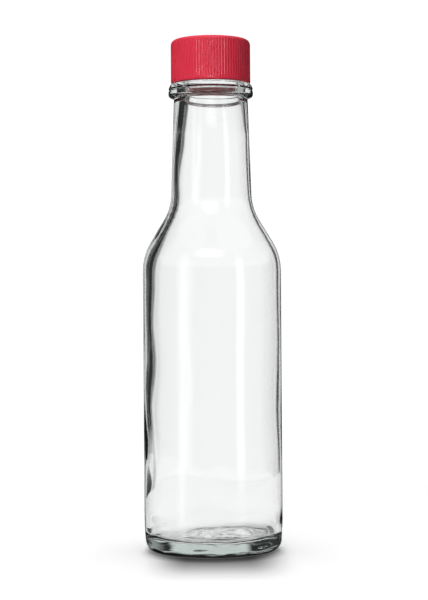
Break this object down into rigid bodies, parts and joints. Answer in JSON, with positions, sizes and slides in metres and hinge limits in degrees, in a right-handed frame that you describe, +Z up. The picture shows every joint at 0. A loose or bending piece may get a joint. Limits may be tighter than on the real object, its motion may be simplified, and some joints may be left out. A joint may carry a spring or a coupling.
{
  "type": "hot sauce bottle",
  "caption": "Empty clear glass sauce bottle with a round body, sloping shoulder, long neck, bead and ribbed red screw cap.",
  "frame": {"origin": "centre of the base, on the plane that the bottle stands on", "axes": "+Z up along the bottle's axis of rotation, from the base to the cap; -Y faces the viewer of the picture"},
  "size_m": [0.0466, 0.0466, 0.1717],
  "materials": {
    "clear_glass": "clear, smooth and glossy, faintly green where it is thick",
    "red_plastic": "satin moulded polypropylene with fine upright ribs"
  },
  "bodies": {
    "root": {"bottle": "clear_glass", "cap": "red_plastic"}
  },
  "joints": []
}
